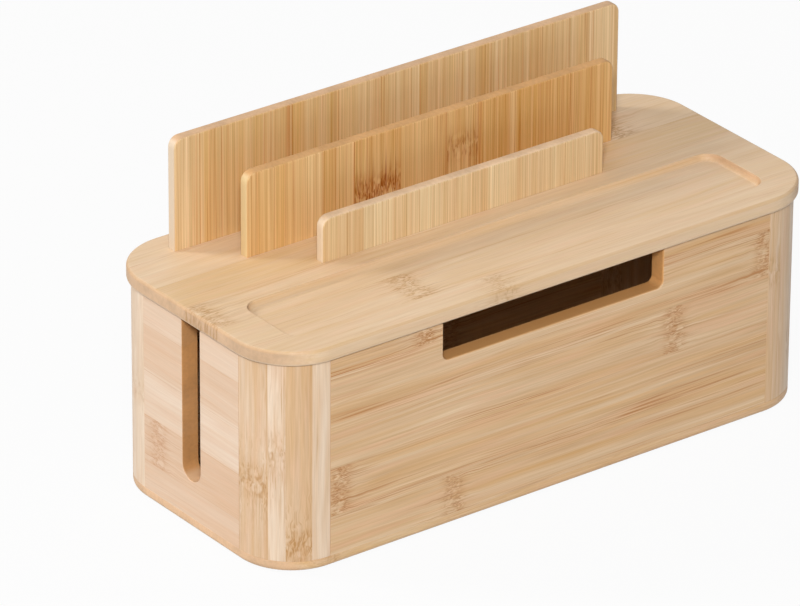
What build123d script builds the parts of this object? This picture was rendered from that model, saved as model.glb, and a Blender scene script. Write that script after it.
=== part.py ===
from build123d import *
import os

# A desktop cable management box of glued bamboo board. The box stands on four thin pads. Its lid lifts
# off, and carries a shallow pen tray and three upright dividers for a phone, a tablet and papers.
# X runs along the box, -Y is the front with the cable notch, and the pads stand on z = 0. Millimetres.

# The lid and the walls in plan
lid_length = 300.0
lid_depth = 130.0
lid_overhang = 2.0
wall_thickness = 8.5
corner_radius = 27.5
post_straight = 0.5  # how far a corner post runs on past its curve

# Heights, from the desk up
pad_height = 1.0
base_thickness = 5.0
wall_height = 94.5
lid_thickness = 7.0

# The base board and its pads
base_edge_round = 2.5
pad_radius = 6.0
pad_edge_round = 0.3
pad_inset = 20.0  # from the walls' outer faces to a pad's centre

# The tongues on the panels, glued into grooves in the posts
tongue_thickness = 3.0
tongue_length = 4.0
glue_clearance = 0.1
groove_end_clearance = 0.4

# The cable notch in the front panel, and the cable slot in each end panel
notch_width = 120.0
notch_depth = 19.0
notch_corner_round = 3.0
slot_width = 13.0
slot_sill = 18.0  # from the base board up to the slot's round bottom
mouth_round = 2.0

# The lid's edge, and the blocks glued under it that centre it on the box
lid_edge_round = 1.5
block_clearance = 1.0  # from a block to the walls
block_straight = 6.0  # how far a block runs on past its curve
block_height = 6.0
block_corner_round = 3.0
block_lead_in = 1.0

# The dividers, which stand in grooves in the lid, in rows from its back edge
divider_thickness = 5.0
divider_corner_round = 5.0
divider_edge_round = 1.0
divider_back_margin = 12.0  # from the lid's back edge to the first divider
divider_pitch = 23.4
divider_shoulder = 6.0  # how far each foot stops short of the divider's end
divider_groove_depth = 3.5
divider_rows = {  # each divider's height above the lid, and its distance from the lid's ends
    "divider_back": (53.5, 28.0),
    "divider_middle": (40.0, 49.5),
    "divider_front": (21.0, 73.0),
}

# The pen tray, routed into the lid between its front edge and the front divider
tray_front_margin = 15.0
tray_end_margin = 21.0
tray_divider_gap = 11.2
tray_depth = 2.8
tray_corner_round = 8.0
tray_cove = 2.5

# Worked out from the sizes above
box_length = lid_length - 2 * lid_overhang
box_depth = lid_depth - 2 * lid_overhang
inner_radius = corner_radius - wall_thickness
post_width = corner_radius + post_straight
base_top = pad_height + base_thickness
wall_top = base_top + wall_height
lid_top = wall_top + lid_thickness
foot_depth = divider_groove_depth - glue_clearance
groove_width = divider_thickness + 2 * glue_clearance

# Each corner of the box: its name, its side in X and in Y, and how far the front left one is turned
corners = (
    ("front_left", -1, -1, 0),
    ("front_right", 1, -1, 90),
    ("back_right", 1, 1, 180),
    ("back_left", -1, 1, 270),
)
on_floor = (Align.CENTER, Align.CENTER, Align.MIN)
tolerance = 0.01  # how far an edge may be from the place where it is looked for


def board(length, depth, radius, thickness):
    """A flat board with rounded corners in plan, its underside on z = 0."""
    return extrude(RectangleRounded(length, depth, radius), thickness)


def base_board():
    """The bottom board, flush with the walls, with its lower edge rounded over."""
    plate = board(box_length, box_depth, corner_radius, base_thickness)
    plate = fillet(plate.faces().sort_by(Axis.Z)[0].edges(), base_edge_round)
    return Pos(0, 0, pad_height) * plate


def foot_pad():
    """A thin round anti-slip pad, standing on z = 0."""
    pad = Cylinder(pad_radius, pad_height, align=on_floor)
    return fillet(pad.faces().sort_by(Axis.Z)[0].edges(), pad_edge_round)


def corner_post():
    """The front left post: a curved piece of wall, its outer corner on the origin and both ends grooved."""
    ring_size = 4 * post_width
    hollow_size = ring_size - 2 * wall_thickness
    ring = RectangleRounded(ring_size, ring_size, corner_radius)
    ring -= RectangleRounded(hollow_size, hollow_size, inner_radius)
    ring = Pos(ring_size / 2, ring_size / 2) * ring
    post = extrude(ring & Rectangle(post_width, post_width, align=Align.MIN), wall_height)
    groove_length = tongue_length + groove_end_clearance
    groove_thickness = tongue_thickness + 2 * glue_clearance
    groove = Box(groove_length, groove_thickness, wall_height, align=(Align.MAX, Align.CENTER, Align.MIN))
    post -= Pos(post_width, wall_thickness / 2) * groove
    post -= Pos(wall_thickness / 2, post_width) * Rot(0, 0, 90) * groove
    return post


def wall_panel(wall_length):
    """A straight panel of a wall, along X and centred on the origin, with a tongue on each end."""
    span = wall_length - 2 * post_width
    panel = Box(span, wall_thickness, wall_height, align=on_floor)
    return panel + Box(span + 2 * tongue_length, tongue_thickness, wall_height, align=on_floor)


def round_mouth(panel, mouth_width):
    """Rounds the two top corners of an opening that is cut down from a panel's top edge."""
    reach = mouth_width / 2 + tolerance
    edges = panel.edges().filter_by(Axis.Y).filter_by_position(Axis.X, -reach, reach)
    at_top = edges.filter_by_position(Axis.Z, wall_height - tolerance, wall_height + tolerance)
    return fillet(at_top, mouth_round)


def front_panel():
    """The front wall, with a wide notch in its top edge for the charging cables."""
    notch = Rectangle(notch_width, 2 * notch_depth)
    notch = fillet(notch.vertices().sort_by(Axis.Y)[:2], notch_corner_round)
    cutter = extrude(Plane.XZ * Pos(0, wall_height) * notch, wall_thickness, both=True)
    return round_mouth(wall_panel(box_length) - cutter, notch_width)


def end_panel():
    """An end wall, with a tall slot that has a round bottom and is open at the top until the lid is on."""
    slot_height = 2 * (wall_height - slot_sill)
    slot = SlotOverall(slot_height, slot_width, rotation=90)
    cutter = extrude(Plane.XZ * Pos(0, wall_height) * slot, wall_thickness, both=True)
    return round_mouth(wall_panel(box_depth) - cutter, slot_width)


def divider_front_y(row):
    """Where the front face of the divider in this row is, counted from 0 at the back."""
    return lid_depth / 2 - divider_back_margin - divider_thickness - row * divider_pitch


def foot_length(end_margin):
    """The length of a divider's foot, which stops short of both of the divider's ends."""
    return lid_length - 2 * end_margin - 2 * divider_shoulder


def divider(row, height, end_margin):
    """An upright divider with round top corners and eased edges, and a foot glued into the lid."""
    outline = Rectangle(lid_length - 2 * end_margin, height, align=(Align.CENTER, Align.MIN))
    outline = fillet(outline.vertices().sort_by(Axis.Y)[-2:], divider_corner_round)
    plate = extrude(Plane.XZ * outline, divider_thickness)
    faces = plate.faces().sort_by(Axis.Y)
    rims = faces[0].edges() + faces[-1].edges()
    plate = fillet(rims.filter_by_position(Axis.Z, tolerance, height + tolerance), divider_edge_round)
    foot_place = (Align.CENTER, Align.MAX, Align.MAX)
    foot = Box(foot_length(end_margin), divider_thickness, foot_depth, align=foot_place)
    return Pos(0, divider_front_y(row) + divider_thickness, lid_top) * (plate + foot)


def divider_groove(row, end_margin):
    """The round-ended groove that is routed into the lid for a divider's foot."""
    groove = SlotOverall(foot_length(end_margin) + groove_width, groove_width)
    middle_y = divider_front_y(row) + divider_thickness / 2
    return Pos(0, middle_y, lid_top - divider_groove_depth) * extrude(groove, divider_groove_depth)


def pen_tray():
    """The space of the pen tray, with a cove where its sides meet its floor."""
    front_y = -lid_depth / 2 + tray_front_margin
    back_y = divider_front_y(len(divider_rows) - 1) - tray_divider_gap
    length = lid_length - 2 * tray_end_margin
    space = board(length, back_y - front_y, tray_corner_round, lid_thickness)
    space = fillet(space.faces().sort_by(Axis.Z)[0].edges(), tray_cove)
    return Pos(0, (front_y + back_y) / 2, lid_top - tray_depth) * space


def lid_board():
    """The lid, with its edges eased, its pen tray, and a groove for each divider."""
    plate = board(lid_length, lid_depth, corner_radius + lid_overhang, lid_thickness)
    faces = plate.faces().sort_by(Axis.Z)
    plate = fillet(faces[0].edges() + faces[-1].edges(), lid_edge_round)
    lid = Pos(0, 0, wall_top) * plate - pen_tray()
    for row, (_, end_margin) in enumerate(divider_rows.values()):
        lid -= divider_groove(row, end_margin)
    return lid


def lid_block():
    """The front left block under the lid, with its outer corner on the origin and its top on z = 0."""
    outer_round = inner_radius - block_clearance
    block_size = outer_round + block_straight
    plan = Rectangle(block_size, block_size, align=Align.MIN)
    plan = fillet(plan.vertices().sort_by(Axis((0, 0, 0), (1, 1, 0)))[0], outer_round)
    plan = fillet(plan.vertices().sort_by(Axis((0, 0, 0), (1, 1, 0)))[-3:], block_corner_round)
    block = extrude(plan, -block_height)
    return chamfer(block.faces().sort_by(Axis.Z)[0].edges(), block_lead_in)


def at_corner(piece, side_x, side_y, turn, inset, height):
    """Turns a front left corner piece to a corner of the box, inset from the walls' outer faces."""
    x = side_x * (box_length / 2 - inset)
    y = side_y * (box_depth / 2 - inset)
    return Pos(x, y, height) * Rot(0, 0, turn) * piece


def write(name, piece):
    """Writes one piece to its own STEP file, under its own name."""
    piece.label = name
    export_step(piece, os.path.join("parts", name + ".step"))


os.makedirs("parts", exist_ok=True)
write("base_board", base_board())

long_wall_y = (box_depth - wall_thickness) / 2
end_wall_x = (box_length - wall_thickness) / 2
write("front_panel", Pos(0, -long_wall_y, base_top) * front_panel())
write("back_panel", Pos(0, long_wall_y, base_top) * wall_panel(box_length))
write("left_end_panel", Pos(-end_wall_x, 0, base_top) * Rot(0, 0, 90) * end_panel())
write("right_end_panel", Pos(end_wall_x, 0, base_top) * Rot(0, 0, 90) * end_panel())

for corner_name, side_x, side_y, turn in corners:
    write("corner_post_" + corner_name, at_corner(corner_post(), side_x, side_y, turn, 0, base_top))
    block_inset = wall_thickness + block_clearance
    write("lid_block_" + corner_name, at_corner(lid_block(), side_x, side_y, turn, block_inset, wall_top))
    write("foot_pad_" + corner_name, at_corner(foot_pad(), side_x, side_y, turn, pad_inset, 0))

write("lid_board", lid_board())
for row, (divider_name, (height, end_margin)) in enumerate(divider_rows.items()):
    write(divider_name, divider(row, height, end_margin))
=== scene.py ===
from math import cos, pi, radians, sin

import bpy
from mathutils import Matrix, Vector


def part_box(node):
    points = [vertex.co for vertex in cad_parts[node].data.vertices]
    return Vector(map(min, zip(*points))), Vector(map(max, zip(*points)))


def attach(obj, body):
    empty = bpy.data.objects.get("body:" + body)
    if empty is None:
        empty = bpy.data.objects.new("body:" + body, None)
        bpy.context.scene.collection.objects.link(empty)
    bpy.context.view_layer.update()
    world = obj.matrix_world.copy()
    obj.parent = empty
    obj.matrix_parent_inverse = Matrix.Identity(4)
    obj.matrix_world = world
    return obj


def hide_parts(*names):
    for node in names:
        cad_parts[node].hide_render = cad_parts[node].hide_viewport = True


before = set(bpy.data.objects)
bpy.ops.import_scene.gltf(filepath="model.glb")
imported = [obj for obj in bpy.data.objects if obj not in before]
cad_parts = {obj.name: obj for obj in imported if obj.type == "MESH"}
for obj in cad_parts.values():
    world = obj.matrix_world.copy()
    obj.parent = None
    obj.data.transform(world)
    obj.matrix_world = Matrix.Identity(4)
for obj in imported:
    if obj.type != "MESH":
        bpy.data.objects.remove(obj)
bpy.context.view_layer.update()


# ------------------------------------------------------------------------------------------ Bottom board
# The flat bamboo board that the box stands on. It is sawn to the outline of the walls, which are glued
# on top of it, and its lower edge is rounded over. All edges are eased with sandpaper before lacquering.
mm = 0.001
corner_radius = 27.5 * mm
corner_steps = 28
base_edge_round = 2.5 * mm
sanded_edge = 0.2 * mm
hair = 0.01 * mm  # how far an edge may lie from the place where it is looked for
pattern_reach = 160.0  # how far from the origin the strips can reach, in millimetres
farthest_knuckle = 400.0  # past every board's end, the place of the knuckle of a strip that shows none


def add_block(name, low, high):
    """Adds a block that fills the space between two corners, and leaves it alone in the selection."""
    bpy.ops.object.select_all(action="DESELECT")
    size = Vector(high) - Vector(low)
    bpy.ops.mesh.primitive_cube_add(size=1, location=Vector(low) + size / 2, scale=size)
    bpy.ops.object.transform_apply(location=True, rotation=True, scale=True)
    block = bpy.context.object
    block.name = block.data.name = name
    return block


def select_only(piece):
    """Leaves one object selected and active."""
    bpy.ops.object.select_all(action="DESELECT")
    piece.select_set(True)
    bpy.context.view_layer.objects.active = piece


def clear_choice(piece, kind):
    """Makes a piece active, with edges or faces as what is chosen in it, and none of them chosen yet."""
    select_only(piece)
    bpy.ops.object.mode_set(mode="EDIT")
    bpy.ops.mesh.select_mode(type=kind)
    bpy.ops.mesh.select_all(action="DESELECT")
    bpy.ops.object.mode_set(mode="OBJECT")


def select_edges(piece, wanted):
    """Goes into edit mode with the edges selected that a test of their middle and direction accepts."""
    clear_choice(piece, "EDGE")
    points = piece.data.vertices
    for edge in piece.data.edges:
        start, end = (points[i].co for i in edge.vertices)
        edge.select = wanted((start + end) / 2, (end - start).normalized())
    bpy.ops.object.mode_set(mode="EDIT")


def round_edges(piece, wanted, radius, steps):
    """Rounds the chosen edges of a piece."""
    select_edges(piece, wanted)
    bpy.ops.mesh.bevel(offset=radius, offset_type="OFFSET", segments=steps, profile=0.5,
                       affect="EDGES", clamp_overlap=False)
    bpy.ops.object.mode_set(mode="OBJECT")


def apply_modifier(piece, kind, **settings):
    """Adds one modifier to a piece and applies it."""
    select_only(piece)
    modifier = piece.modifiers.new(kind.lower(), kind)
    for setting, choice in settings.items():
        setattr(modifier, setting, choice)
    bpy.ops.object.modifier_apply(modifier=modifier.name)


def sand(piece, width=sanded_edge):
    """Eases every sharp edge that is left, and shades the round surfaces smooth and the flat ones flat."""
    apply_modifier(piece, "BEVEL", width=width, segments=3, limit_method="ANGLE",
                   angle_limit=radians(40), use_clamp_overlap=True)
    bpy.ops.object.shade_smooth_by_angle(angle=radians(35))
    apply_modifier(piece, "WEIGHTED_NORMAL", keep_sharp=True)


def near(a, b):
    """Whether two places along an axis are the same."""
    return abs(a - b) < hair


def upright(middle, direction):
    """Accepts the edges that run straight up."""
    return abs(direction.z) > 0.99


def at_height(height):
    """A test that accepts the edges at one height."""
    return lambda middle, direction: near(middle.z, height)


def colour(code):
    """The linear colour of a hex code such as "D8B48C"."""
    parts = [int(code[i:i + 2], 16) / 255 for i in (0, 2, 4)]
    return [c / 12.92 if c < 0.04045 else ((c + 0.055) / 1.055) ** 2.4 for c in parts] + [1]


class Value:
    """A socket of a material's nodes, so that its maths is written as plain expressions."""

    def __init__(self, tree, socket=None):
        self.tree = tree
        self.socket = socket

    def node(self, kind, settings=None, inputs=None, output=0):
        """Adds a node: its settings first, then the value or link of each socket. Gives one output."""
        made = self.tree.nodes.new(kind)
        for setting, choice in (settings or {}).items():
            if setting == "stops":
                stops = made.color_ramp.elements
                while len(stops) < len(choice):
                    stops.new(1)
                for stop, (position, stop_colour) in zip(stops, choice):
                    stop.position = position
                    stop.color = stop_colour
            elif setting == "interpolation":
                made.color_ramp.interpolation = choice
            else:
                setattr(made, setting, choice)
        for place, source in (inputs or {}).items():
            if isinstance(source, Value):
                self.tree.links.new(source.socket, made.inputs[place])
            else:
                made.inputs[place].default_value = source
        return Value(self.tree, made.outputs[output] if made.outputs else None)

    def math(self, operation, *others):
        """Adds a Math node that works on this value and the others, in this order."""
        return self.node("ShaderNodeMath", {"operation": operation}, dict(enumerate((self, *others))))

    def __add__(self, other):
        return self.math("ADD", other)

    __radd__ = __add__

    def __sub__(self, other):
        return self.math("SUBTRACT", other)

    def __rsub__(self, other):
        return self.node("ShaderNodeMath", {"operation": "SUBTRACT"}, {0: other, 1: self})

    def __mul__(self, other):
        return self.math("MULTIPLY", other)

    __rmul__ = __mul__

    def __truediv__(self, other):
        return self.math("DIVIDE", other)

    def __abs__(self):
        return self.math("ABSOLUTE")

    def parts(self, kind="ShaderNodeSeparateXYZ"):
        """The three parts of a vector, or those of a colour where the kind is ShaderNodeSeparateColor."""
        split = self.node(kind, {}, {0: self})
        return [Value(self.tree, part) for part in split.socket.node.outputs]

    def rise(self, start, end):
        """0 up to start, 1 from end on, and a smooth rise or fall between them."""
        return self.node("ShaderNodeMapRange", {"interpolation_type": "SMOOTHSTEP"},
                         {0: self, 1: start, 2: end, 3: 0.0, 4: 1.0})


def empty_nodes(owner):
    """Clears the nodes of a material or a world, and gives a Value that adds the new ones."""
    owner.use_nodes = True
    owner.node_tree.nodes.clear()
    return Value(owner.node_tree)


def blend(factor, first, second):
    """Mixes two colours by a factor."""
    return factor.node("ShaderNodeMix", {"data_type": "RGBA", "clamp_factor": True},
                       {0: factor, 6: first, 7: second}, 2)


def fibres(along, across, depth, length, width, detail=1.0, swirl=0.0):
    """Noise drawn out along the grain, about as long and as wide as the two sizes, in millimetres."""
    spot = along.node("ShaderNodeCombineXYZ", {}, {0: along / length, 1: across / width, 2: depth / width})
    return spot.node("ShaderNodeTexNoise", {}, {"Vector": spot, "Scale": 1.0, "Detail": detail,
                                                "Roughness": 0.5, "Distortion": swirl})


def board_colours(pale, tan, golden, blush, brown, deep, sawn, side):
    """The colours of a board, from their hex codes: the pale and the tan ground, the golden tint, the blush,
    the brown of the flames, the deep brown of the knuckles, the sawn ends, and the side colour of the two
    edges, which is partly the wood's own and partly painted light and shade."""
    return [colour(code) for code in (pale, tan, golden, blush, brown, deep, sawn, side)]


def lamella(start, shade=0.0, warmth=0.0, knuckle=farthest_knuckle, mark=0.0):
    """One bamboo strip of a board: where it starts across the grain, how much darker than the board it is
    and how much more golden, where along the grain its knuckle is, and how strong the knuckle's marks are.
    Both places are in millimetres from the origin, which is on the desk under the middle of the box."""
    return start, shade, warmth, knuckle, mark


def strip_at(across, strips):
    """What the strip at a place across the grain is like: its shade, its warmth and the place of its knuckle,
    which a ramp's colour gives from 0 to 1, the strength of the knuckle's marks, which is the ramp's alpha,
    and how far away the nearest joint between strips is, in millimetres."""
    stops = [((start + pattern_reach) / (2 * pattern_reach),
              (0.5 + 0.5 * shade, warmth, 0.5 + knuckle / (2 * farthest_knuckle), mark))
             for start, shade, warmth, knuckle, mark in strips]
    place = (across + pattern_reach) / (2 * pattern_reach)
    strip = place.node("ShaderNodeValToRGB", {"interpolation": "CONSTANT", "stops": stops}, {0: place})
    shade, warmth, knuckle = strip.parts("ShaderNodeSeparateColor")
    mark = Value(strip.tree, strip.socket.node.outputs["Alpha"])
    from_joint = abs(across - strips[0][0])
    for start, *_ in strips[1:]:
        from_joint = from_joint.math("MINIMUM", abs(across - start))
    return shade, warmth, knuckle, mark, from_joint


def follow_fibres(along, across, depth, strip, seed, wander, mark_length):
    """Turns a place in a board into one that follows the fibres of its strip: how far away the knuckle is,
    the place across the bent fibres, and the layer in the cane. Each strip comes from another cane, told
    apart by a number made of what the strip is like, and its fibres slant and wander in their own way. They
    start afresh on the far side of its zigzag knuckle, and curl beside it."""
    shade, _, knuckle, mark, _ = strip
    zigzag = fibres(along, across, depth, length=400.0, width=1.3) - 0.5
    from_knuckle = along - (knuckle - 0.5) * (2 * farthest_knuckle) + zigzag * 9
    off_knuckle = abs(from_knuckle)
    beyond = from_knuckle.math("GREATER_THAN", 0.0)
    cane = shade * 61.3 + knuckle * 217.9 + beyond * 33.1 + seed * 17.7
    draw = cane.node("ShaderNodeTexWhiteNoise", {"noise_dimensions": "1D"}, {"W": cane}, "Color")
    slant, shift, lift = draw.parts("ShaderNodeSeparateColor")
    long_swing = fibres(along, across, depth, length=75.0, width=28.0) - 0.5
    short_swing = fibres(along, across, depth, length=16.0, width=6.0) - 0.5
    swing = long_swing * 5 + short_swing * 0.8
    curl = fibres(along, across, depth + 30, length=7.0, width=4.0) - 0.5
    curl = curl * off_knuckle.rise(mark_length * 4.0, mark_length) * mark
    slanted = across + along * (slant - 0.5) * (0.03 * wander)
    bent = slanted + swing * wander + curl * (4 * wander) + shift * 80
    return off_knuckle, bent, depth + lift * 50


def sawn_wood(along, across, depth, sawn, deep, near_knuckle, mark):
    """The colour of a sawn end, mottled by the cut fibres, with those of a knuckle as dark ticks."""
    mottling = fibres(depth, across, along, length=2.2, width=1.6, detail=2.0).rise(0.35, 0.70)
    bundles = fibres(depth, across, along, length=12.0, width=15.0).rise(0.36, 0.64)
    ticks = fibres(depth, across, along * 0.1, length=12.0, width=1.1).rise(0.46, 0.60)
    brightness = 1.12 - mottling * 0.10 - bundles * 0.14
    mottled = brightness.node("ShaderNodeVectorMath", {"operation": "MULTIPLY"}, {0: sawn[:3], 1: brightness})
    return blend(ticks * near_knuckle * mark * 0.8, mottled, deep)


def bamboo(name, grain_axis, strip_axis, strips, colours, seed, contrast=1.0, lines=1.0, flames=1.0,
           wander=1.0, stretch=1.0, mark_length=5.0, dash=1.8, flecks=1.0, even=0.0, painted_side_shading=0.0, painted_slant_shading=0.0,
           rough=0.44):
    """Lacquered bamboo board of edge-glued strips. The pattern fills the board, so the sawn ends show the
    cut fibres. Its axes are the one along the grain and the one across the strips, and the seed picks the
    fibres.

    The rest say how strong a feature is: the ground's contrast, the fine lines, the brown flames, how far the
    fibres wander, and the pale flecks in the knuckles, which are all 1 on a usual board. Even spreads the
    flames over the board, from 0 to 1. The next two, from 0 to 1 as well, paint light and shade into the
    colour: the first gives the two edges the side colour, which is partly the wood's own and partly painted
    light and shade, and the second paints shade, a brown tint, on rims and coves that slant up, and light, a
    pale tint, on lower rims that slant down. Stretch lengthens the grain, mark_length is the length of a
    knuckle and dash that of one mark in it, in millimetres, and rough is the roughness of the lacquer."""
    material = bpy.data.materials.new(name)
    nodes = empty_nodes(material)
    pale, tan, golden, blush, brown, deep, sawn, side = colours

    # Places in millimetres, along the grain, across the strips and through the board
    flat_axis = 3 - grain_axis - strip_axis
    spot = nodes.node("ShaderNodeTexCoord", output="Object")
    places = [place / mm for place in spot.parts()]
    along, across, depth = places[grain_axis], places[strip_axis], places[flat_axis]
    strip = strip_at(across, strips)
    shade, warmth, _, mark, from_joint = strip
    off_knuckle, bent, layer = follow_fibres(along, across, depth, strip, seed, wander, mark_length)

    # The tone of the ground, its golden bands and blushes, the flame-like brown streaks, the long threads,
    # the fine lines and the pores
    broad = fibres(along, bent, layer, length=110.0 * stretch, width=9.0) - 0.5
    middling = fibres(along, bent, layer, length=45.0 * stretch, width=1.7) - 0.5
    glow = fibres(along, bent, layer + 90, length=60.0 * stretch, width=3.0) - 0.5
    patches = fibres(along, bent, layer, length=30.0 * stretch, width=5.0)
    tone = shade + broad * (1.5 * contrast) + middling * (1.3 * contrast)
    here_and_there = fibres(along, bent, layer + 60, length=50.0 * stretch, width=8.0).rise(0.36, 0.60)
    at_joint = from_joint.rise(5.0, 0.5) * here_and_there
    clusters = fibres(along, bent, layer, length=75.0 * stretch, width=6.0).rise(0.44, 0.70) + at_joint
    clusters = clusters.math("MAXIMUM", even)
    flame = fibres(along, bent, layer, length=20.0 * stretch, width=0.7).rise(0.55, 0.70) * clusters
    thread = fibres(along, bent, layer, length=90.0 * stretch, width=0.45).rise(0.57, 0.69) * clusters
    line = fibres(along, bent, layer, length=18.0 * stretch, width=0.5, detail=2.0) - 0.5
    pores = fibres(along, bent, layer, length=6.0, width=0.26).rise(0.66, 0.78)
    glue_line = from_joint.rise(0.30, 0.06)

    # The knuckle: a zigzag band of short dashes with pale flecks in a brown blotch, and fine spikes that
    # run out of it
    patchy = fibres(along, across, depth, length=5.0, width=4.0).rise(0.32, 0.50)
    band = off_knuckle.rise(mark_length, mark_length * 0.5) * mark
    dashes = fibres(along, bent, layer * 0.12, length=dash, width=0.6, swirl=0.4)
    dark_dashes = dashes.rise(0.50, 0.64) * band * patchy
    pale_flecks = dashes.rise(0.46, 0.34) * band
    blotch = off_knuckle.rise(mark_length * 1.6, mark_length * 0.3) * patchy * mark
    halo = off_knuckle.rise(mark_length * 3.5, mark_length) * patches.rise(0.62, 0.42) * mark
    spikes = fibres(along, bent, layer, length=40.0, width=0.7).rise(0.50, 0.70)
    spikes = spikes * off_knuckle.rise(mark_length * 3.5, 0.0) * mark

    # The colour, from the ground up to the darkest marks
    ground = blend(tone, pale, tan)
    ground = blend(warmth + glow * (1.6 * contrast), ground, golden)
    ground = blend(patches.rise(0.48, 0.74) * (0.6 * contrast), ground, blush)
    ground = blend(halo * (0.35 * flecks), ground, pale)
    ground = blend(blotch * 0.36, ground, brown)
    ground = blend(pale_flecks * (0.6 * flecks), ground, pale)
    ground = blend(flame * (0.45 * flames), ground, brown)
    ground = blend(thread * (0.50 * flames), ground, brown)
    ground = blend(spikes * 0.60, ground, deep)
    ground = blend(glue_line * 0.25, ground, brown)
    brightness = 1 + line * (0.22 * lines) - pores * (0.06 * lines)
    ground = ground.node("ShaderNodeVectorMath", {"operation": "MULTIPLY_ADD"},
                         {0: ground, 1: brightness, 2: line * (0.105 * lines)})

    # The sawn ends and the board's two edges, in the side colour that is partly painted light and shade. Then
    # painted shade, browner where a rim or cove slants up, as on the tray's walls and the lid's top rim, and
    # painted light, paler where a lower rim slants down. The knuckles' dashes go over it all
    tilts = nodes.node("ShaderNodeNewGeometry", output="Normal").parts()
    facing = [abs(tilt) for tilt in tilts]
    sawn_end = facing[grain_axis].rise(0.30, 0.80)
    near_knuckle = off_knuckle.rise(mark_length * 2.0, 0.0)
    end_wood = sawn_wood(along, across, depth, sawn, deep, near_knuckle, mark)
    surface = blend(sawn_end * 0.9, ground, end_wood)
    # The side colour on the two edges: partly the wood's own, partly painted light and shade
    surface = blend(facing[strip_axis].rise(0.45, 0.95) * painted_side_shading, surface, side)
    flat = facing[flat_axis]
    upward = tilts[2]
    # Painted shade on surfaces that slant up, and painted light on lower rims that slant down
    slanted = flat.rise(0.99, 0.90) * flat.rise(0.10, 0.35) * painted_slant_shading
    surface = blend(slanted * upward.rise(-0.05, 0.05), surface, brown)
    surface = blend(slanted * upward.rise(0.05, -0.05) * 2.2, surface, pale)
    surface = blend(dark_dashes * 0.63, surface, deep)

    # The lacquer, which follows the fibres and is duller on the pores, the dashes and the sawn ends
    relief = line * 0.5 - pores * 0.5 - dark_dashes * 0.4 - glue_line * 0.8
    bump = relief.node("ShaderNodeBump", {}, {"Strength": 0.3, "Distance": 0.06 * mm, "Height": relief})
    gloss = rough + line * 0.16 + pores * 0.10 + dark_dashes * 0.08 + sawn_end * 0.12
    wood = surface.node("ShaderNodeBsdfPrincipled", {}, {"Base Color": surface, "Roughness": gloss,
                                                         "Normal": bump, "IOR": 1.42})
    wood.node("ShaderNodeOutputMaterial", {}, {"Surface": wood})
    return material


base_low, base_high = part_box("base_board")
base_board = add_block("bamboo_base_board", base_low, base_high)
round_edges(base_board, upright, corner_radius, corner_steps)
round_edges(base_board, at_height(base_low.z), base_edge_round, steps=6)
sand(base_board)

base_colours = board_colours(pale="E4C8A2", tan="D4AC83", golden="D8AE72", blush="DEB690",
                             brown="BE8A54", deep="B08050", sawn="D6B18D", side="D5AC7F")
base_strips = (
    lamella(-pattern_reach, shade=0.1, warmth=0.2, knuckle=-120, mark=0.6),
    lamella(-44, shade=-0.1, warmth=0.3, knuckle=60, mark=0.8),
    lamella(-22, shade=0.2, warmth=0.1, knuckle=-30, mark=0.8),
    lamella(0, shade=0.0, warmth=0.4, knuckle=110, mark=0.8),
    lamella(22, shade=0.3, warmth=0.2, knuckle=-90, mark=0.8),
    lamella(44, shade=0.0, warmth=0.2, knuckle=20, mark=0.8),
)
base_board.data.materials.append(bamboo("base_bamboo", 0, 1, base_strips, base_colours, seed=1))
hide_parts("base_board")
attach(base_board, "box")


# ----------------------------------------------------------------------------------------- Anti-slip pads
# Four thin round pads of pale rubber with their own glue, pressed onto the underside of the bottom board
# near its corners. Their lower rims are moulded round, and keep the board off the desk.
pad_sides = 64
pad_rim_round = 0.3 * mm
pad_sanded_edge = 0.08 * mm
corners = {"front_left": 0, "front_right": 90, "back_right": 180, "back_left": 270}  # degrees of turn

pad_low, pad_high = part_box("foot_pad_front_left")
pad_size = pad_high - pad_low
bpy.ops.object.select_all(action="DESELECT")
bpy.ops.mesh.primitive_cylinder_add(vertices=pad_sides, radius=pad_size.x / 2, depth=pad_size.z,
                                    location=pad_size / 2)
pad = bpy.context.object
bpy.ops.object.transform_apply(location=True, rotation=True, scale=True)
round_edges(pad, at_height(0), pad_rim_round, steps=4)
sand(pad, pad_sanded_edge)

rubber = bpy.data.materials.new("pad_rubber")
rubber_spot = empty_nodes(rubber).node("ShaderNodeTexCoord", output="Object")
grit = rubber_spot.node("ShaderNodeTexNoise", {}, {"Vector": rubber_spot, "Scale": 2600.0, "Detail": 2.0})
smudge = rubber_spot.node("ShaderNodeTexNoise", {}, {"Vector": rubber_spot, "Scale": 220.0, "Detail": 2.0})
rubber_tone = blend(smudge * 0.5 + grit * 0.5, colour("BDBCB6"), colour("DAD9D3"))
rubber_bump = grit.node("ShaderNodeBump", {}, {"Strength": 0.5, "Distance": 0.04 * mm, "Height": grit})
rubber_skin = rubber_tone.node("ShaderNodeBsdfPrincipled", {}, {
    "Base Color": rubber_tone, "Roughness": grit * 0.2 + 0.6, "Normal": rubber_bump})
rubber_skin.node("ShaderNodeOutputMaterial", {}, {"Surface": rubber_skin})
pad.data.materials.append(rubber)


def copy_to_corners(piece, name, node, body):
    """Copies a corner piece, made with its low corner on the origin, to where its four CAD nodes are."""
    made = {}
    for corner, turn in corners.items():
        low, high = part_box(node + corner)
        select_only(piece)
        bpy.ops.object.duplicate(linked=False)
        copy = bpy.context.object
        copy.name = copy.data.name = name + corner
        copy.rotation_euler.z = radians(turn)
        copy.location = (low.x if turn in (0, 270) else high.x, low.y if turn in (0, 90) else high.y, low.z)
        bpy.ops.object.transform_apply(location=True, rotation=True, scale=True)
        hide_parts(node + corner)
        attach(copy, body)
        made[corner] = copy
    bpy.data.objects.remove(piece)
    return made


copy_to_corners(pad, "rubber_pad_", "foot_pad_", "box")


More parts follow.
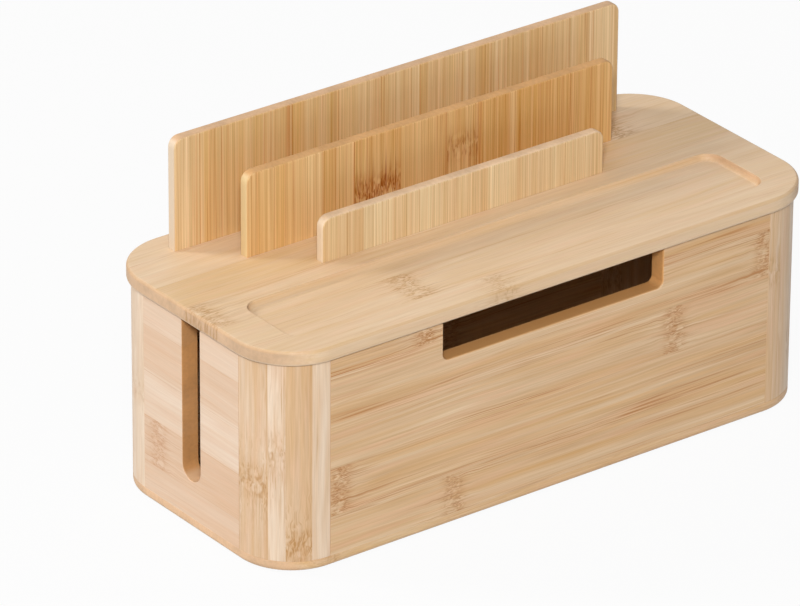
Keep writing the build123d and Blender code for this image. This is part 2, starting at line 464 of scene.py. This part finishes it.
# ------------------------------------------------------------------------------------------- Corner posts
# The four rounded corners of the box. Each is glued up from upright bamboo strips, turned to a quarter
# round inside and out, and grooved down both ends for the tongues of the panels.
wall_thickness = 8.5 * mm
groove_thickness = 3.2 * mm
groove_depth = 4.4 * mm
spare = 5 * mm  # how far a cutter stands out past what it cuts

post_low, post_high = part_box("corner_post_front_left")
post_size = post_high - post_low


def carve(piece, cutter):
    """Cuts the shape of a second block out of a piece, and removes that block."""
    select_only(cutter)
    apply_modifier(piece, "BOOLEAN", operation="DIFFERENCE", solver="EXACT", object=cutter)
    bpy.data.objects.remove(cutter)


def upright_at(distance):
    """A test that accepts the upright edge this far from the origin along X and along Y."""
    return lambda middle, direction: (upright(middle, direction) and near(middle.x, distance)
                                      and near(middle.y, distance))


post = add_block("post", (0, 0, 0), post_size)
round_edges(post, upright_at(0), corner_radius, corner_steps)
hollow = add_block("hollow", (wall_thickness, wall_thickness, -spare),
                   post_size + Vector((spare, spare, spare)))
round_edges(hollow, upright_at(wall_thickness), corner_radius - wall_thickness, corner_steps)
carve(post, hollow)
groove_low = (wall_thickness - groove_thickness) / 2
groove_high = groove_low + groove_thickness
carve(post, add_block("groove", (post_size.x - groove_depth, groove_low, -spare),
                      (post_size.x + spare, groove_high, post_size.z + spare)))
carve(post, add_block("groove", (groove_low, post_size.y - groove_depth, -spare),
                      (groove_high, post_size.y + spare, post_size.z + spare)))
sand(post)

post_colours = board_colours(pale="E6D0B8", tan="CAA57D", golden="D2A772", blush="DAB391",
                             brown="BC8A50", deep="AC7C40", sawn="B9854F", side="CAA57D")
post_strips = {
    "front_left": (
        lamella(-pattern_reach, shade=0.25, warmth=0.1, knuckle=42, mark=0.8),
        lamella(-144, shade=-0.85, warmth=0.0, knuckle=59, mark=0.5),
        lamella(-139.2, shade=0.5, warmth=0.25, knuckle=13, mark=1.1),
        lamella(-129.4, shade=-0.7, warmth=0.12),
    ),
    "front_right": (
        lamella(-pattern_reach, shade=-0.9, warmth=0.45, knuckle=70, mark=0.5),
        lamella(127, shade=-1.0, warmth=0.35),
        lamella(134, shade=-0.6, warmth=0.15, knuckle=30, mark=0.6),
        lamella(141.5, shade=0.4, warmth=0.05, knuckle=82, mark=0.5),
    ),
    "back_right": (
        lamella(-pattern_reach, shade=-0.2, warmth=0.2, knuckle=20, mark=0.7),
        lamella(129, shade=0.3, warmth=0.1, knuckle=66, mark=0.8),
        lamella(138.5, shade=0.0, warmth=0.3),
        lamella(144, shade=0.4, warmth=0.1, knuckle=90, mark=0.6),
    ),
    "back_left": (
        lamella(-pattern_reach, shade=-0.6, warmth=0.0, knuckle=52, mark=0.3),
        lamella(-143, shade=-0.4, warmth=0.1),
        lamella(-137, shade=0.3, warmth=0.3, knuckle=84, mark=0.8),
        lamella(-128, shade=0.0, warmth=0.1, knuckle=24, mark=0.6),
    ),
}
post_seeds = {"front_left": 21, "front_right": 22, "back_right": 21, "back_left": 20}
posts = copy_to_corners(post, "bamboo_corner_post_", "corner_post_", "box")
for corner, copy in posts.items():
    copy.data.materials.append(bamboo("post_bamboo_" + corner, 2, 0, post_strips[corner], post_colours,
                                      post_seeds[corner], contrast=0.7, lines=0.8, flames=0.5,
                                      mark_length=9.0, dash=3.4, flecks=0.35))


# ---------------------------------------------------------------------------------- Front and back panels
# Straight boards between the posts, of wide strips laid level, with a tongue down each end. The front
# one has the cable notch: it is routed down from the top edge, and its rim is sanded to a soft edge.
notch_width = 120 * mm
notch_depth = 19 * mm
notch_corner_round = 3 * mm
mouth_round = 2 * mm
notch_rim_round = 0.9 * mm
tongue_thickness = 3 * mm
tongue_length = 4 * mm


def select_faces(piece, wanted):
    """Goes into edit mode with the faces selected that a test of their middle and normal accepts."""
    clear_choice(piece, "FACE")
    for face in piece.data.polygons:
        face.select = wanted(face.center, face.normal)
    bpy.ops.object.mode_set(mode="EDIT")


def cut_through(piece, place, normal):
    """Draws a line round a piece, where a plane meets it."""
    select_faces(piece, lambda middle, facing: True)
    bpy.ops.mesh.bisect(plane_co=place, plane_no=normal)
    bpy.ops.object.mode_set(mode="OBJECT")


def pull_faces(piece, wanted, move):
    """Extrudes the chosen faces by a move."""
    select_faces(piece, wanted)
    bpy.ops.mesh.extrude_region_move(TRANSFORM_OT_translate={"value": move})
    bpy.ops.object.mode_set(mode="OBJECT")


def add_panel(name, node, axis):
    """A panel that runs along an axis, with a tongue pulled out of the middle of each of its ends."""
    along = Matrix.Identity(3)[axis]
    across = Matrix.Identity(3)[1 - axis]
    low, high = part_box(node)
    panel = add_block(name, low + along * tongue_length, high - along * tongue_length)
    centre = (low + high) / 2
    for edge in (-tongue_thickness / 2, tongue_thickness / 2):
        cut_through(panel, centre + across * edge, across)
    for way in (-1, 1):
        pull_faces(panel, lambda middle, facing: facing.dot(along) * way > 0.9
                   and abs((middle - centre).dot(across)) < tongue_thickness / 2, along * way * tongue_length)
    return panel


def crossing(axis, height):
    """A test that accepts the edges that run along an axis, right through a board, at one height."""
    return lambda middle, direction: abs(direction[axis]) > 0.9 and near(middle.z, height)


def ease_opening(panel, axis, low, high, width, bottom, rim_round, rim_steps):
    """Rounds the two top corners of an opening that goes through a panel along an axis, and then its rim on
    both faces of the panel. Low and high are the panel's corners."""
    side = 1 - axis
    round_edges(panel, lambda middle, direction: crossing(axis, high.z)(middle, direction)
                and near(abs(middle[side]), width / 2), mouth_round, steps=8)

    def on_rim(middle, direction):
        on_a_face = near(middle[axis], low[axis]) or near(middle[axis], high[axis])
        return (on_a_face and abs(direction[axis]) < 0.1 and bottom - hair < middle.z < high.z - hair
                and abs(middle[side]) < width / 2 + mouth_round)

    round_edges(panel, on_rim, rim_round, rim_steps)


front_panel = add_panel("bamboo_front_panel", "front_panel", 0)
back_panel = add_panel("bamboo_back_panel", "back_panel", 0)
front_low, front_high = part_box("front_panel")
notch_bottom = front_high.z - notch_depth
notch = add_block("notch", (-notch_width / 2, front_low.y - spare, notch_bottom),
                  (notch_width / 2, front_high.y + spare, front_high.z + spare))
round_edges(notch, crossing(1, notch_bottom), notch_corner_round, steps=10)
carve(front_panel, notch)
ease_opening(front_panel, 1, front_low, front_high, notch_width, notch_bottom, notch_rim_round, rim_steps=6)
sand(front_panel)
sand(back_panel)

# Their side colour, which the notch's sill takes, is partly the wood's own and partly painted shade under the
# lid
wall_colours = board_colours(pale="E2C5A1", tan="CCA57A", golden="D4A66C", blush="DCB089",
                             brown="BA7E48", deep="AC7642", sawn="CC9457", side="BD8950")
joint_pitch = 22.7
first_joint = 1.5
front_strips = (
    lamella(first_joint, shade=-0.3, warmth=0.3, knuckle=-54, mark=0.8),
    lamella(first_joint + joint_pitch, shade=0.1, warmth=0.2, knuckle=-115, mark=1.0),
    lamella(first_joint + 2 * joint_pitch, shade=-0.05, warmth=0.1, knuckle=67, mark=1.0),
    lamella(first_joint + 3 * joint_pitch, shade=0.08, warmth=0.15, knuckle=118, mark=1.0),
    lamella(first_joint + 4 * joint_pitch, shade=0.12, warmth=0.25, knuckle=-70, mark=1.3),
)
back_strips = (
    lamella(first_joint, shade=0.1, warmth=0.2, knuckle=34, mark=0.8),
    lamella(first_joint + joint_pitch, shade=-0.1, warmth=0.1, knuckle=-82, mark=1.0),
    lamella(first_joint + 2 * joint_pitch, shade=0.15, warmth=0.3, knuckle=96, mark=0.9),
    lamella(first_joint + 3 * joint_pitch, shade=0.0, warmth=0.1, knuckle=-20, mark=1.0),
    lamella(first_joint + 4 * joint_pitch, shade=0.1, warmth=0.2, knuckle=58, mark=0.8),
)
for panel, node, strips, seed in ((front_panel, "front_panel", front_strips, 21),
                                  (back_panel, "back_panel", back_strips, 22)):
    panel.data.materials.append(bamboo(node + "_bamboo", 0, 2, strips, wall_colours, seed, contrast=1.05,
                                       flames=1.5, wander=0.5, stretch=2.0, mark_length=6.0, painted_side_shading=0.9))
    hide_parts(node)
    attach(panel, "box")


# --------------------------------------------------------------------------------------------- End panels
# The two short walls, of paler strips laid level. Each has a tall cable slot with a round bottom, routed
# down from the top edge, which the lid closes above. Its rim is sanded to a finer edge than the notch's.
slot_width = 13 * mm
slot_bottom = 24 * mm
slot_rim_round = 0.45 * mm
all_but_half = 0.49995  # of a round end's width, so that its two arcs leave a hair between them

end_colours = board_colours(pale="E5CFB9", tan="D3AD8B", golden="D7A97D", blush="DCB597",
                            brown="C49468", deep="BE8C68", sawn="BC864C", side="D0A880")
end_pitch = 22.0
first_end_joint = -2.0
end_strips = {
    "left_end_panel": (
        lamella(first_end_joint, shade=0.15, warmth=0.05, knuckle=70),
        lamella(first_end_joint + end_pitch, shade=0.25, warmth=0.15, knuckle=24.5, mark=0.9),
        lamella(first_end_joint + 2 * end_pitch, shade=-0.6, warmth=0.0, knuckle=-60),
        lamella(first_end_joint + 3 * end_pitch, shade=0.15, warmth=0.05, knuckle=90),
        lamella(first_end_joint + 4 * end_pitch, shade=-0.15, warmth=0.0, knuckle=80),
    ),
    "right_end_panel": (
        lamella(first_end_joint, shade=0.1, warmth=0.1, knuckle=-18, mark=0.7),
        lamella(first_end_joint + end_pitch, shade=-0.2, warmth=0.1, knuckle=60),
        lamella(first_end_joint + 2 * end_pitch, shade=0.2, warmth=0.2, knuckle=22, mark=0.8),
        lamella(first_end_joint + 3 * end_pitch, shade=-0.1, warmth=0.0, knuckle=-70),
        lamella(first_end_joint + 4 * end_pitch, shade=0.1, warmth=0.1, knuckle=16, mark=0.5),
    ),
}
for seed, (node, strips) in enumerate(end_strips.items(), 45):
    end_panel = add_panel("bamboo_" + node, node, 1)
    end_low, end_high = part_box(node)
    slot = add_block("slot", (end_low.x - spare, -slot_width / 2, slot_bottom),
                     (end_high.x + spare, slot_width / 2, end_high.z + spare))
    round_edges(slot, crossing(0, slot_bottom), slot_width * all_but_half, steps=16)
    carve(end_panel, slot)
    ease_opening(end_panel, 0, end_low, end_high, slot_width, slot_bottom, slot_rim_round, rim_steps=4)
    sand(end_panel)
    end_panel.data.materials.append(bamboo(node + "_bamboo", 1, 2, strips, end_colours, seed, contrast=0.38,
                                           lines=0.45, flames=0.3, wander=0.7, mark_length=6.5,
                                           flecks=0.3, painted_side_shading=0.9))
    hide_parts(node)
    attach(end_panel, "box")


# --------------------------------------------------------------------------------------------- Lid board
# The loose lid, a board of wide strips that reaches a little past the walls, with both rims rounded.
# A shallow tray for pens is routed into it with a round-nosed cutter, and a groove for each divider.
lid_radius = 29.5 * mm
lid_edge_round = 1.5 * mm
tray_front_margin = 15 * mm
tray_end_margin = 21 * mm
tray_divider_gap = 11.2 * mm
tray_depth = 2.8 * mm
tray_corner_round = 8 * mm
tray_cove = 2.5 * mm
tray_rim_round = 0.5 * mm
divider_groove = 5.2 * mm
divider_groove_depth = 3.5 * mm
divider_shoulder = 6 * mm
lid_sanded_edge = 0.12 * mm

lid_low, lid_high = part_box("lid_board")
lid = add_block("bamboo_lid_board", lid_low, lid_high)
round_edges(lid, upright, lid_radius, corner_steps)
round_edges(lid, lambda middle, direction: near(middle.z, lid_low.z) or near(middle.z, lid_high.z),
            lid_edge_round, steps=6)

tray_low = Vector((lid_low.x + tray_end_margin, lid_low.y + tray_front_margin, lid_high.z - tray_depth))
tray_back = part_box("divider_front")[0].y - tray_divider_gap
tray_high = Vector((-tray_low.x, tray_back, lid_high.z + spare))
tray = add_block("tray", tray_low, tray_high)
round_edges(tray, upright, tray_corner_round, steps=14)
round_edges(tray, at_height(tray_low.z), tray_cove, steps=8)
carve(lid, tray)


def on_tray_rim(middle, direction):
    """Accepts the edges round the tray's mouth."""
    return (near(middle.z, lid_high.z) and abs(middle.x) < tray_high.x + hair
            and tray_low.y - hair < middle.y < tray_high.y + hair)


round_edges(lid, on_tray_rim, tray_rim_round, steps=4)

dividers = ("divider_back", "divider_middle", "divider_front")
for node in dividers:
    divider_low, divider_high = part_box(node)
    middle_y = (divider_low.y + divider_high.y) / 2
    groove_end = divider_high.x - divider_shoulder + divider_groove / 2
    groove_bottom = lid_high.z - divider_groove_depth
    cutter = add_block("groove", (-groove_end, middle_y - divider_groove / 2, groove_bottom),
                       (groove_end, middle_y + divider_groove / 2, lid_high.z + spare))
    round_edges(cutter, upright, divider_groove * all_but_half, steps=10)
    carve(lid, cutter)
sand(lid, lid_sanded_edge)

lid_colours = board_colours(pale="E7CEB0", tan="D5B289", golden="D8B478", blush="E3BC9A",
                            brown="BE9058", deep="A87A46", sawn="C7A584", side="D2B18A")
lid_strips = (
    lamella(-pattern_reach, shade=-0.05, warmth=0.05, knuckle=-28, mark=0.5),
    lamella(-46.8, shade=0.05, warmth=0.05, knuckle=-57, mark=0.9),
    lamella(-23, shade=0.0, warmth=0.05, knuckle=-147, mark=0.8),
    lamella(1, shade=0.35, warmth=0.25, knuckle=60),
    lamella(23.5, shade=0.05, warmth=0.05, knuckle=108, mark=0.9),
    lamella(46.8, shade=0.12, warmth=0.0, knuckle=40, mark=0.6),
)
# The lid's slanted rims and tray coves get painted shade where they slant up, and painted light on its lower
# rim
lid.data.materials.append(bamboo("lid_bamboo", 0, 1, lid_strips, lid_colours, seed=41, contrast=0.52,
                                 lines=0.52, flames=0.5, wander=0.7, mark_length=7.5, dash=2.2,
                                 painted_slant_shading=0.27))
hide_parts("lid_board")
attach(lid, "lid")


# --------------------------------------------------------------------------------------------- Lid blocks
# Four small blocks glued under the lid. They drop inside the rounded corners of the walls and keep the
# lid centred, and their lower rims are chamfered so that they find their place.
block_outer_round = 18 * mm
block_corner_round = 3 * mm
block_lead_in = 1 * mm

block_low, block_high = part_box("lid_block_front_left")
block_size = block_high - block_low
block = add_block("block", (0, 0, 0), block_size)
round_edges(block, upright_at(0), block_outer_round, steps=20)


def at_other_corners(middle, direction):
    """Accepts the upright edges at the corners of the block that are still sharp."""
    return (upright(middle, direction) and (near(middle.x, 0) or near(middle.x, block_size.x))
            and (near(middle.y, 0) or near(middle.y, block_size.y)))


round_edges(block, at_other_corners, block_corner_round, steps=6)
round_edges(block, at_height(0), block_lead_in, steps=1)
sand(block)

block_colours = board_colours(pale="E3C8A0", tan="CFA878", golden="D2A56C", blush="DCB08A",
                              brown="B88654", deep="A87848", sawn="B98048", side="CFA878")
block_strips = (
    lamella(-pattern_reach, shade=0.1, warmth=0.1),
    lamella(-50, shade=-0.1, warmth=0.2),
    lamella(0, shade=0.2, warmth=0.1),
    lamella(50, shade=-0.2, warmth=0.3),
)
block.data.materials.append(bamboo("block_bamboo", 0, 1, block_strips, block_colours, seed=51, rough=0.6))
copy_to_corners(block, "bamboo_lid_block_", "lid_block_", "lid")


# ----------------------------------------------------------------------------------------------- Dividers
# Three upright boards for a phone, a tablet and papers, with their grain upright too. Their top corners
# and rims are rounded, and each stands on a long foot that is glued into its groove in the lid.
divider_corner_round = 5 * mm
divider_edge_round = 1 * mm
divider_sanded_edge = 0.1 * mm
foot_depth = 3.4 * mm

# Their side colours, on the two ends of each divider, are paler than the faces: partly the wood's own, partly
# painted light on the ends
divider_colours = {
    "divider_back": board_colours(pale="E9CDA2", tan="D2A86A", golden="D8AA68", blush="E0B88A",
                                  brown="BE7C3A", deep="A87034", sawn="D0A984", side="D8C4AC"),
    "divider_middle": board_colours(pale="E5C18A", tan="CF9B5C", golden="D3A158", blush="D9AB72",
                                    brown="B26A28", deep="944E0E", sawn="C89966", side="DBC08F"),
    "divider_front": board_colours(pale="E6CFA5", tan="D6B080", golden="D7B37A", blush="DFBC92",
                                   brown="BE8C58", deep="A87440", sawn="DFBE9C", side="E6D0B4"),
}
divider_strips = {
    "divider_back": (
        lamella(-pattern_reach, shade=0.0, warmth=0.1),
        lamella(-107, shade=0.5, warmth=0.3),
        lamella(-100, shade=0.2, warmth=0.1),
        lamella(-81, shade=0.6, warmth=0.1),
        lamella(-74, shade=0.4, warmth=0.1),
        lamella(-59, shade=0.9, warmth=0.4),
        lamella(-53, shade=0.5, warmth=0.0),
        lamella(-41, shade=0.7, warmth=0.1),
        lamella(-34, shade=0.3, warmth=0.1),
        lamella(-14, shade=0.5, warmth=0.2),
        lamella(-9, shade=0.0, warmth=0.1),
        lamella(9, shade=0.4, warmth=0.2),
        lamella(14, shade=0.0, warmth=0.1),
        lamella(41, shade=0.3, warmth=0.2),
        lamella(48, shade=0.1, warmth=0.0),
        lamella(58, shade=0.4, warmth=0.1),
        lamella(84, shade=0.1, warmth=0.0),
        lamella(92, shade=0.0, warmth=0.0),
        lamella(104, shade=-0.25, warmth=0.0),
    ),
    "divider_middle": (
        lamella(-pattern_reach, shade=-0.3, warmth=0.2),
        lamella(-86, shade=-0.1, warmth=0.3),
        lamella(-76, shade=-0.5, warmth=0.0),
        lamella(-60, shade=0.0, warmth=0.2),
        lamella(-52.5, shade=-0.25, warmth=0.1),
        lamella(-43, shade=0.35, warmth=0.2, knuckle=120, mark=1.5),
        lamella(-17.5, shade=-0.15, warmth=0.1),
        lamella(4, shade=0.3, warmth=0.1),
        lamella(6.5, shade=0.0, warmth=0.1, knuckle=129, mark=0.6),
        lamella(24.5, shade=0.7, warmth=0.5),
        lamella(27.5, shade=0.65, warmth=0.2),
        lamella(42.5, shade=0.15, warmth=0.0),
        lamella(45.5, shade=0.8, warmth=0.4),
        lamella(58.5, shade=0.5, warmth=0.3),
        lamella(76, shade=0.05, warmth=0.2),
    ),
    "divider_front": (
        lamella(-pattern_reach, shade=0.2, warmth=0.1),
        lamella(-55.5, shade=-0.6, warmth=0.0),
        lamella(-39, shade=0.0, warmth=0.1),
        lamella(-32, shade=-0.5, warmth=0.0),
        lamella(-13, shade=0.1, warmth=0.1),
        lamella(-4, shade=-0.05, warmth=0.1),
        lamella(6, shade=0.4, warmth=0.1),
        lamella(12, shade=-0.2, warmth=0.0),
        lamella(30, shade=0.2, warmth=0.1),
        lamella(39, shade=-0.1, warmth=0.0),
        lamella(53, shade=0.2, warmth=0.1),
        lamella(60, shade=-0.1, warmth=0.0),
        lamella(71, shade=0.3, warmth=0.1),
    ),
}

for seed, node in enumerate(dividers, 61):
    low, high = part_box(node)
    body_low = Vector((low.x, low.y, low.z + foot_depth))
    divider = add_block("bamboo_" + node, body_low, high)
    round_edges(divider, crossing(1, high.z), divider_corner_round, steps=12)
    round_edges(divider, lambda middle, direction: abs(direction.y) < 0.1
                and (near(middle.y, low.y) or near(middle.y, high.y)) and middle.z > body_low.z + hair,
                divider_edge_round, steps=5)
    foot_end = high.x - divider_shoulder
    for way in (-1, 1):
        cut_through(divider, (way * foot_end, 0, 0), (1, 0, 0))
    pull_faces(divider, lambda middle, facing: facing.z < -0.9 and abs(middle.x) < foot_end,
               (0, 0, -foot_depth))
    sand(divider, divider_sanded_edge)
    divider.data.materials.append(bamboo(node + "_bamboo", 2, 0, divider_strips[node], divider_colours[node],
                                         seed, contrast=0.55, lines=1.9, flames=1.2, wander=0.1, stretch=5.0,
                                         mark_length=8.0, dash=4.0, flecks=0.5, even=0.6, painted_side_shading=0.9,
                                         rough=0.40))
    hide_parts(node)
    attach(divider, "lid")


# --------------------------------------------------------------------------------- Floor, light and camera
# A wide pale floor and an even sky, in metres. A soft key lamp stands behind the left end of the box, the
# main lamp high at its front left, and a faint lamp as wide as a window higher still.
floor_size = 14.0
floor_grey = 0.60
floor_glow = 0.94
sky_level = 0.25
camera_distance = 3.3
camera_lens = 339.18
film_width = 36
farthest_view = 50
box_middle = Vector((0, 0, 0.1))

bpy.ops.object.select_all(action="DESELECT")
bpy.ops.mesh.primitive_plane_add(size=floor_size, location=(0, 0, 0))
floor = bpy.context.object
floor.name = floor.data.name = "studio_floor"


def seen_directly(value):
    """1 for what the camera sees, also by reflection or through glass, and 0 for what lights the object."""
    rays = [value.node("ShaderNodeLightPath", output=kind)
            for kind in ("Is Camera Ray", "Is Glossy Ray", "Is Transmission Ray")]
    return rays[0].math("MAXIMUM", rays[1]).math("MAXIMUM", rays[2])


floor_paint = bpy.data.materials.new("floor_paint")
floor_nodes = empty_nodes(floor_paint)
matte = floor_nodes.node("ShaderNodeBsdfDiffuse", {}, {"Color": (floor_grey, floor_grey, floor_grey, 1)})
bright = floor_nodes.node("ShaderNodeEmission", {}, {"Color": (1, 1, 1, 1), "Strength": 1.0})
floor_mix = floor_nodes.node("ShaderNodeMixShader", {}, {
    0: seen_directly(floor_nodes) * floor_glow, 1: matte, 2: bright})
floor_mix.node("ShaderNodeOutputMaterial", {}, {"Surface": floor_mix})
floor.data.materials.append(floor_paint)

world = bpy.data.worlds.new("studio")
bpy.context.scene.world = world
sky_nodes = empty_nodes(world)
sky_strength = seen_directly(sky_nodes) * (1 - sky_level) + sky_level
sky = sky_nodes.node("ShaderNodeBackground", {}, {"Color": (1, 1, 1, 1), "Strength": sky_strength})
sky.node("ShaderNodeOutputWorld", {}, {"Surface": sky})


def add_softbox(name, direction, away, width, level):
    """Adds a round soft lamp that faces the box, and lights a surface square to it at this level."""
    direction = Vector(direction).normalized()
    bpy.ops.object.light_add(type="AREA", location=box_middle + direction * away,
                             rotation=direction.to_track_quat("Z", "Y").to_euler())
    lamp = bpy.context.object
    lamp.name = name
    lamp.data.shape = "DISK"
    lamp.data.size = width
    lamp.data.energy = level * pi * pi * away ** 2
    lamp.visible_camera = False


add_softbox("key_lamp", (-0.617, 0.591, 0.515), away=2.8, width=0.85, level=0.46)
add_softbox("fill_lamp", (-0.45, -0.40, 0.80), away=1.4, width=1.5, level=0.12)
add_softbox("front_lamp", (-0.52, -0.64, 0.565), away=3.1, width=0.54, level=0.71)

azimuth = radians(37.04)
elevation = radians(26.66)
roll = radians(0.36)
aim = Vector((-27.9, 10.8, 69.9)) * mm
look = Vector((sin(azimuth) * cos(elevation), cos(azimuth) * cos(elevation), -sin(elevation)))
right = Vector((cos(azimuth), -sin(azimuth), 0))
turned = Matrix((right, right.cross(look), -look)).transposed() @ Matrix.Rotation(roll, 3, "Z")
bpy.ops.object.camera_add(location=aim - look * camera_distance, rotation=turned.to_euler())
camera = bpy.context.object
camera.name = "camera"
camera.data.sensor_width = film_width
camera.data.lens = camera_lens
camera.data.clip_end = farthest_view
bpy.context.scene.camera = camera
bpy.context.scene.view_settings.view_transform = "Standard"
